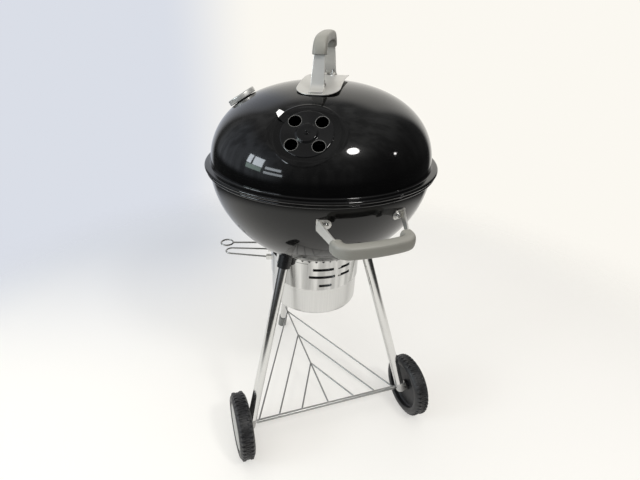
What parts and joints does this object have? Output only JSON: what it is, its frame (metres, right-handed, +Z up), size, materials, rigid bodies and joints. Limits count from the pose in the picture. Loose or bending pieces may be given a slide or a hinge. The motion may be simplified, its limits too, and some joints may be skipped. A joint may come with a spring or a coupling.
{
  "type": "kettle charcoal grill",
  "caption": "Round charcoal kettle on a wheeled tripod, with a domed lid, turning damper, dial thermometer, ash sweep and pull-down ash can.",
  "frame": {"origin": "on the floor under the kettle's upright axis, at the middle of the overall box's underside", "axes": "+X along the axle from the thermometer side, +Y towards the back leg, +Z up"},
  "size_m": [0.4839, 0.588, 0.9232],
  "materials": {
    "enamel_black": "glossy black porcelain enamel",
    "damper_black": "semi-gloss black",
    "plate_steel": "light satin steel",
    "grip_grey": "warm grey satin moulded plastic",
    "fastener_steel": "bright plated",
    "can_metal": "bright brushed",
    "wire_steel": "grey plated wire",
    "grate_steel": "plated rod",
    "leg_tube": "polished tube",
    "fitting_grey": "light grey satin",
    "foot_grey": "mid-grey satin",
    "axle_chrome": "bright rod",
    "wheel_black": "black moulded plastic",
    "cap_grey": "light grey satin",
    "socket_black": "black enamel",
    "dial_case": "bright bezel",
    "dial_white": "matt white printed",
    "dial_needle": "matt dark",
    "dial_glass": "clear"
  },
  "bodies": {
    "base": {"bowl_shell": "enamel_black", "bowl_brackets_front": "plate_steel", "bowl_brackets_rear": "plate_steel", "bowl_grip_front": "grip_grey", "bowl_grip_rear": "grip_grey", "handle_screws": "fastener_steel", "handle_washers": "fastener_steel", "handle_nuts": "fastener_steel", "cooking_grate_tabs": "enamel_black", "charcoal_grate_tabs": "enamel_black", "leg_socket_left": "socket_black", "leg_socket_right": "socket_black", "leg_socket_back": "socket_black", "socket_screws": "fastener_steel", "ash_can_clips": "fastener_steel", "leg_left": "leg_tube", "leg_right": "leg_tube", "leg_back": "leg_tube", "axle_fitting_left": "fitting_grey", "axle_fitting_right": "fitting_grey", "foot_cap_back": "foot_grey", "axle": "axle_chrome", "axle_washers": "fastener_steel", "axle_clips": "fastener_steel", "wire_rack": "wire_steel"},
    "lid": {"lid_shell": "enamel_black", "lid_heat_plate": "plate_steel", "lid_strap": "plate_steel", "lid_grip": "grip_grey", "lid_handle_bolts": "fastener_steel", "lid_handle_nuts": "fastener_steel", "lid_spacers": "fastener_steel", "thermo_case": "dial_case", "thermo_dial": "dial_white", "thermo_lens": "dial_glass", "thermo_stem": "dial_case", "thermo_nut": "fastener_steel", "lid_damper_rivet": "damper_black"},
    "damper": {"lid_damper": "damper_black"},
    "needle": {"thermo_needle": "dial_needle"},
    "top_grate": {"cooking_grate": "grate_steel"},
    "coal_grate": {"charcoal_grate": "grate_steel"},
    "sweep": {"sweep_blades": "grate_steel", "sweep_shaft": "fastener_steel", "sweep_nut": "fastener_steel", "sweep_lever": "wire_steel"},
    "can": {"ash_can": "can_metal", "ash_can_handle": "wire_steel", "ash_can_lugs": "can_metal"},
    "left_wheel": {"wheel_left": "wheel_black", "hub_cap_left": "cap_grey"},
    "right_wheel": {"wheel_right": "wheel_black", "hub_cap_right": "cap_grey"}
  },
  "joints": [
    {"name": "lid_lift", "type": "slide", "parent": "base", "child": "lid", "axis": [0, 0, 1], "range_m": [0, 0.25]},
    {"name": "damper_turn", "type": "hinge", "parent": "lid", "child": "damper", "pos_m": [-0.08457, -0.15447, 0.7704], "axis": [-0.3235, -0.5909, 0.7391], "range_deg": [0, 45]},
    {"name": "needle_turn", "type": "hinge", "parent": "lid", "child": "needle", "pos_m": [-0.14434, 0.07355, 0.79295], "axis": [-0.4712, 0.2401, 0.8487], "range_deg": [-250, 20]},
    {"name": "cooking_grate_lift", "type": "slide", "parent": "base", "child": "top_grate", "axis": [0, 0, 1], "range_m": [0, 0.06]},
    {"name": "charcoal_grate_lift", "type": "slide", "parent": "base", "child": "coal_grate", "axis": [0, 0, 1], "range_m": [0, 0.06]},
    {"name": "sweep_turn", "type": "hinge", "parent": "base", "child": "sweep", "pos_m": [0, 0, 0.4383], "axis": [0, 0, 1], "range_deg": [-25, 25]},
    {"name": "can_drop", "type": "slide", "parent": "base", "child": "can", "axis": [0, 0, -1], "range_m": [0, 0.15]},
    {"name": "left_wheel_spin", "type": "hinge", "parent": "base", "child": "left_wheel", "pos_m": [-0.20013, -0.14013, 0.076], "axis": [1, 0, 0], "continuous": true},
    {"name": "right_wheel_spin", "type": "hinge", "parent": "base", "child": "right_wheel", "pos_m": [0.20013, -0.14013, 0.076], "axis": [1, 0, 0], "continuous": true}
  ]
}
